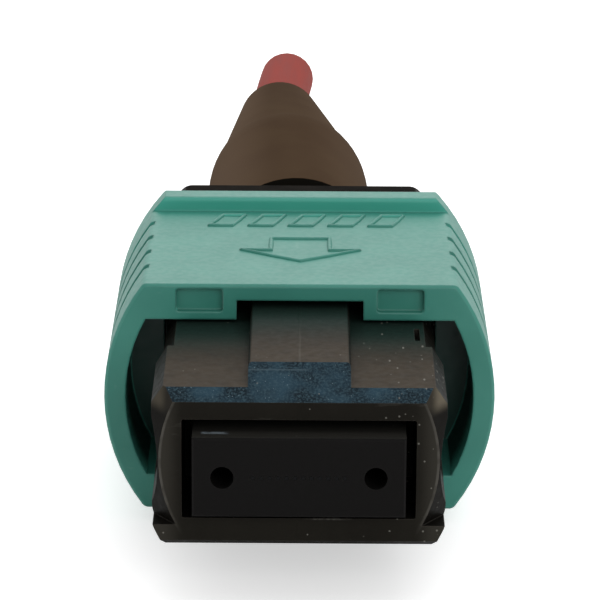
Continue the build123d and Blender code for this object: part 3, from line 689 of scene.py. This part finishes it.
# Fibres in mm, close to the solids' routes as far as the cable: side by side at the front, then round
FIBRE_COUNT = 12
FIBRE_PITCH = 0.25
BARE_RADIUS = 0.0625
COATED_RADIUS = 0.12
BUNDLE_PITCH = 0.257
BUNDLE_GAP = 0.017
PLACE_OF_FIBRE = (4, 5, 3, 6, 1, 7, 0, 2, 8, 11, 9, 10)
SPREAD = (10.1, 14.8)
STRAIGHT_RUN = 0.7
GATHERED = 27.6
INNER_FIBRES = 3
OUTER_FIBRES = 9
INNER_START = 90
OUTER_START = 110

# Jacket and yarn in mm: the strands fold over the neck and run on inside the jacket
JACKET_FRONT = 28.9
JACKET_RADIUS = 1.1
JACKET_WALL = 0.3
YARN_FRONT = 22.8
YARN_FOLD = 27.9
FOLD_RADIUS = 2.005
YARN_RING = 0.70
YARN_RADIUS = 0.05
YARN_STRANDS = 40
YARN_SETBACK = 0.12
YARN_ENTRY = 0.3
YARN_RAGGED = 0.07
YARN_RAGGED_TURN = 7.3


def bundle_places():
    """Three fibres in the middle of the round bundle and nine round them, as x and z in mm."""
    places = []
    for count, start, gap in ((INNER_FIBRES, INNER_START, 0.0), (OUTER_FIBRES, OUTER_START, BUNDLE_GAP)):
        radius = BUNDLE_PITCH / (2 * math.sin(math.pi / count)) + gap
        for place in range(count):
            turn = math.radians(start + 360 * place / count)
            places.append((radius * math.cos(turn), radius * math.sin(turn)))
    return places


def fibre(index):
    """One fibre, bare in the ferrule and coated behind it, from its place in the row to the bundle."""
    row_x = (index - (FIBRE_COUNT - 1) / 2) * FIBRE_PITCH
    bundle_x, bundle_z = bundle_places()[PLACE_OF_FIBRE[index]]
    bare = [(row_x, 0.0, 0.0), (row_x, COAT_FRONT, 0.0)]
    coated = [
        (row_x, COAT_FRONT, 0.0),
        (row_x, SPREAD[0] - STRAIGHT_RUN, 0.0),
        (row_x, SPREAD[0], 0.0),
        (row_x, SPREAD[1], bundle_z),
        (bundle_x, GATHERED, bundle_z),
    ]
    coated += [(x + bundle_x, y, bundle_z) for x, y in CABLE_ROUTE]
    return [(bare, BARE_RADIUS), (coated, COATED_RADIUS)]


def jacket():
    """The jacket as an open tube, pushed to one side of the boot's tip as in the photograph."""
    route = [(0.0, JACKET_FRONT, 0.0)] + [(x, y, 0.0) for x, y in CABLE_ROUTE]
    pipe = tubes("jacket_tube", [(route, JACKET_RADIUS)], capped=False, rounding=10, smoothing=6)
    thicken(pipe, JACKET_WALL)
    return pipe


def yarn_strand(index):
    """One strand, from the fold on the neck to a slightly uneven cut end."""
    turn = 2 * math.pi * index / YARN_STRANDS
    side, up = math.cos(turn), math.sin(turn)
    folded = [(FOLD_RADIUS * side, y, FOLD_RADIUS * up) for y in (YARN_FRONT, YARN_FOLD)]
    inside = [(YARN_RING * side, y, YARN_RING * up) for y in (JACKET_FRONT - YARN_ENTRY, JACKET_FRONT)]
    along = [(x + YARN_RING * side, y, YARN_RING * up) for x, y in CABLE_ROUTE]
    x, y, z = along[-1]
    ragged = YARN_RAGGED * math.sin(YARN_RAGGED_TURN * index)
    along[-1] = (x, y - YARN_SETBACK + ragged, z)
    return folded + inside + along, YARN_RADIUS


def fixed_pieces():
    """The jacket and the yarn, which stay with the plug."""
    made = {
        "cable_jacket": jacket(),
        "aramid_yarn": tubes("yarn_strands", [yarn_strand(index) for index in range(YARN_STRANDS)]),
    }
    for name, piece in made.items():
        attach(piece, "plug_body")
        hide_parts(name)
    return made


def flexing_pieces():
    """The springs and the fibres, rebuilt as smooth tubes that ride the plug."""
    made = {}
    for side, name in ((-1, "coupling_spring_left"), (1, "coupling_spring_right")):
        spring = tubes(name + "_wire", coil(SIDE_SPRING, side))
        made[name] = flex(spring, name)
    spring = tubes("main_spring_wire", coil(MAIN_SPRING))
    made["main_spring"] = flex(spring, "main_spring")
    for index in range(FIBRE_COUNT):
        name = f"fibre_{index + 1:02d}"
        strand = tubes(name + "_strand", fibre(index))
        made[name] = flex(strand, name)
    return made


# Generic raised marks on top of the sleeve in mm: slanted outlines and an arrow towards the front
MARK_HEIGHT = 3.74
MARK_RADIUS = 0.09
SLANT_ROW = (13.9, 15.1)
SLANT_PLACES = range(-2, 3)
SLANT_PITCH = 1.32
SLANT_WIDTH = 0.75
SLANT = 0.35
ARROW_TIP = 9.9
ARROW_SHOULDER = 11.1
ARROW_TAIL = 12.4
ARROW_HALF_WIDTH = 1.9
SHAFT_HALF_WIDTH = 0.95


def arrow():
    """The arrow's outline, from its tip round its right side to its left."""
    right = [
        (ARROW_HALF_WIDTH, ARROW_SHOULDER),
        (SHAFT_HALF_WIDTH, ARROW_SHOULDER),
        (SHAFT_HALF_WIDTH, ARROW_TAIL),
    ]
    left = [(-x, y) for x, y in reversed(right)]
    return [(0.0, ARROW_TIP)] + right + left


def sleeve_marks():
    """Thin rounded outlines, half sunk in the top of the sleeve."""
    outlines = [arrow()]
    front, rear = SLANT_ROW
    for place in SLANT_PLACES:
        left = place * SLANT_PITCH - SLANT_WIDTH / 2
        right = left + SLANT_WIDTH
        lean = SLANT * (rear - front)
        outlines.append([(left, front), (right, front), (right + lean, rear), (left + lean, rear)])
    routes = [([(x, y, MARK_HEIGHT) for x, y in outline], MARK_RADIUS) for outline in outlines]
    marks = tubes("sleeve_marks", routes, order=2, closed=True)
    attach(marks, "sleeve")
    dress(marks, "aqua_plastic")


# Studio

FLOOR_GREY = (0.86, 0.86, 0.86, 1.0)
FLOOR_GLOW = 0.52
WHITE = (1.0, 1.0, 1.0)


def floor():
    """A pale floor that takes the object's shadow and is lifted towards white for the camera alone."""
    corners = [(-1, -1), (1, -1), (1, 1), (-1, 1)]
    mesh = bpy.data.meshes.new("floor")
    places = [(x * FLOOR_HALF, y * FLOOR_HALF, FLOOR_HEIGHT) for x, y in corners]
    mesh.from_pydata(places, [], [(0, 1, 2, 3)])
    ground = bpy.data.objects.new("floor", mesh)
    bpy.context.collection.objects.link(ground)
    material = bpy.data.materials.new("floor")
    material.use_nodes = True
    tree = material.node_tree
    shader = tree.nodes["Principled BSDF"]
    shader.inputs["Base Color"].default_value = FLOOR_GREY
    shader.inputs["Roughness"].default_value = 0.9
    shader.inputs["Specular IOR Level"].default_value = 0.0
    path = tree.nodes.new("ShaderNodeLightPath")
    glow = tree.nodes.new("ShaderNodeMath")
    glow.operation = "MULTIPLY"
    glow.inputs[1].default_value = FLOOR_GLOW
    tree.links.new(path.outputs["Is Camera Ray"], glow.inputs[0])
    shader.inputs["Emission Color"].default_value = (*WHITE, 1.0)
    tree.links.new(glow.outputs[0], shader.inputs["Emission Strength"])
    mesh.materials.append(material)


LAMP_TARGET = (0.0, 0.012, 0.0)


def lamp(name, place, size, power, colour):
    """A soft rectangular lamp aimed at the plug."""
    data = bpy.data.lights.new(name, "AREA")
    data.shape = "RECTANGLE"
    data.size, data.size_y = size
    data.energy = power
    data.color = colour
    light = bpy.data.objects.new(name, data)
    bpy.context.collection.objects.link(light)
    light.location = place
    aim = Vector(LAMP_TARGET) - Vector(place)
    light.rotation_euler = aim.to_track_quat("-Z", "Y").to_euler()


# The world's strength towards the camera and behind the object, and the directions it changes between
WORLD_FRONT = 0.36
WORLD_BACK = 1.15
WORLD_TURN = (-0.5, 0.7)


def world():
    """Even white light, dimmer from the camera's side and full white behind the object."""
    sky = bpy.data.worlds.new("studio")
    bpy.context.scene.world = sky
    sky.use_nodes = True
    tree = sky.node_tree
    back = tree.nodes["Background"]
    back.inputs["Color"].default_value = (*WHITE, 1.0)
    direction = tree.nodes.new("ShaderNodeTexCoord")
    parts = tree.nodes.new("ShaderNodeSeparateXYZ")
    tree.links.new(direction.outputs["Generated"], parts.inputs[0])
    level = tree.nodes.new("ShaderNodeMapRange")
    level.inputs["From Min"].default_value, level.inputs["From Max"].default_value = WORLD_TURN
    level.inputs["To Min"].default_value = WORLD_FRONT
    level.inputs["To Max"].default_value = WORLD_BACK
    tree.links.new(parts.outputs["Y"], level.inputs["Value"])
    path = tree.nodes.new("ShaderNodeLightPath")
    seen = tree.nodes.new("ShaderNodeMath")
    seen.operation = "MAXIMUM"
    tree.links.new(level.outputs["Result"], seen.inputs[0])
    tree.links.new(path.outputs["Is Camera Ray"], seen.inputs[1])
    tree.links.new(seen.outputs[0], back.inputs["Strength"])


COOL_WHITE = (0.96, 0.98, 1.0)


def lights():
    """Three soft lamps: name, place in metres, size in metres, watts and colour."""
    lamp("top", (0.05, 0.03, 0.32), (0.35, 0.35), 0.20, COOL_WHITE)
    lamp("back", (0.03, 0.30, 0.26), (0.30, 0.18), 0.28, WHITE)
    lamp("front", (0.12, -0.30, 0.16), (0.25, 0.20), 0.35, WHITE)


camera()
rebuilt = fixed_pieces() | flexing_pieces()
for part in frame["record"]["subparts"]:
    name = part["node"]
    piece = rebuilt.get(name, nodes[name])
    dress(piece, part["material_slot"])
sleeve_marks()
floor()
world()
lights()
bpy.context.scene.view_settings.view_transform = "Standard"
